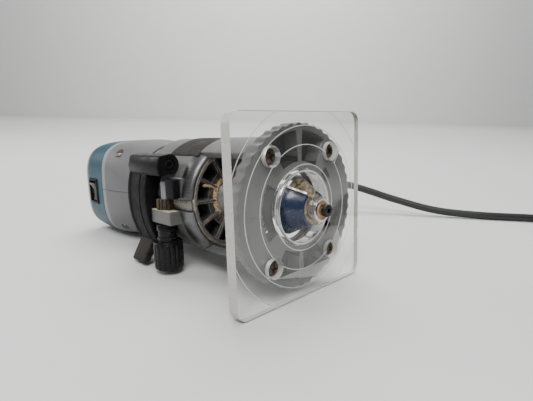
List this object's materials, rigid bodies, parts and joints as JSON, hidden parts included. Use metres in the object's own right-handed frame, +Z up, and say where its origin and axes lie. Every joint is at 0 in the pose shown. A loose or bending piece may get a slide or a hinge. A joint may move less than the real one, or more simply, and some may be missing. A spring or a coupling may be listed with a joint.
{
  "type": "compact router",
  "caption": "Corded compact router lying on its side in a fixed round base, with a square clear insert plate, a piloted cutter, a clamp lever, a depth knob and a coiled cord.",
  "frame": {"origin": "centre of the footprint of the tool without its cord, on the surface it lies on", "axes": "+X from the switch end to the cutter, +Z up, the clamp lever on -Y; the spindle leans 4.137 degrees nose up"},
  "size_m": [0.3718, 0.3742, 0.1002],
  "materials": {
    "clear_acrylic": "clear, finely scratched",
    "cast_alloy": "cast, machined on the bore and rim",
    "dark_screw": "blackened",
    "grip_rubber": "pebbled",
    "black_moulding": "satin moulding",
    "motor_alloy": "turned",
    "dark_alloy": "cast, dark",
    "bright_steel": "ground",
    "black_steel": "black oxide",
    "stator_iron": "stacked laminations",
    "copper": "turned copper",
    "brass": "drawn",
    "carbon": "pressed carbon",
    "grey_housing": "fine moulded grain",
    "teal_cap": "fine moulded grain",
    "pale_strip": "smooth",
    "blue_cutter_paint": "scratched baked paint",
    "carbide": "ground",
    "bronze_seal": "aged bronze",
    "cord_rubber": "satin sheath",
    "plug_plastic": "moulded",
    "tie_plastic": "smooth"
  },
  "bodies": {
    "motor": {"motor_barrel": "motor_alloy", "rack": "bright_steel", "front_end_cap": "dark_alloy", "front_bearing": "bright_steel", "stator": "stator_iron", "rear_bearing": "bright_steel", "brush_carrier": "black_moulding", "brush_holder_1": "brass", "brush_holder_2": "brass", "carbon_brush_1": "carbon", "carbon_brush_2": "carbon", "housing_upper": "grey_housing", "housing_lower": "grey_housing", "housing_screw_1": "dark_screw", "housing_screw_2": "dark_screw", "rear_cap": "teal_cap", "end_plate": "pale_strip", "switch_bezel": "pale_strip", "cord_guard": "black_moulding", "cord_tube": "cord_rubber", "cord_coil": "cord_rubber", "cord_lead": "cord_rubber", "cord_tie": "tie_plastic", "plug_body": "plug_plastic", "plug_blade_1": "brass", "plug_blade_2": "brass"},
    "base": {"insert_plate": "clear_acrylic", "plate_screw_1": "dark_screw", "plate_screw_2": "dark_screw", "plate_screw_3": "dark_screw", "plate_screw_4": "dark_screw", "base_casting": "cast_alloy", "grip_panel": "grip_rubber", "clamp_block": "cast_alloy", "lever_bolt": "bright_steel"},
    "lever": {"lock_lever": "black_moulding"},
    "knob": {"adjust_knob": "black_moulding", "pinion_shaft": "bright_steel"},
    "rocker": {"rocker_switch": "black_moulding"},
    "spindle": {"spindle_shaft": "bright_steel", "armature_core": "stator_iron", "commutator": "copper", "cooling_fan": "black_moulding", "collet": "black_steel", "collet_nut": "black_steel", "bit_body": "blue_cutter_paint", "carbide_1": "carbide", "carbide_2": "carbide", "pilot_seal": "bronze_seal", "pilot_screw": "black_steel"},
    "pilot": {"pilot_ring": "bright_steel"}
  },
  "joints": [
    {"name": "base_slide", "type": "slide", "parent": "motor", "child": "base", "axis": [0.9974, 0, 0.0721], "range_m": [-0.01, 0.015]},
    {"name": "lever_turn", "type": "hinge", "parent": "base", "child": "lever", "pos_m": [-0.00617, -0.0368, 0.06563], "axis": [-0.9974, 0, -0.0721], "range_deg": [0, 70]},
    {"name": "knob_turn", "type": "hinge", "parent": "base", "child": "knob", "pos_m": [0.01596, -0.03855, 0.04397], "axis": [-0.0721, 0, 0.9974], "range_deg": [-128, 192]},
    {"name": "rocker_tilt", "type": "hinge", "parent": "motor", "child": "rocker", "pos_m": [-0.09162, -0.036, 0.03418], "axis": [-0.9974, 0, -0.0721], "range_deg": [0, 14]},
    {"name": "spindle_turn", "type": "hinge", "parent": "motor", "child": "spindle", "pos_m": [0.05435, 0, 0.04675], "axis": [0.9974, 0, 0.0721], "continuous": true},
    {"name": "pilot_turn", "type": "hinge", "parent": "spindle", "child": "pilot", "pos_m": [0.10343, 0, 0.0503], "axis": [0.9974, 0, 0.0721], "continuous": true}
  ],
  "couplings": [
    {"joint": "knob_turn", "follows": "base_slide", "rad_per_m": 222.22}
  ]
}
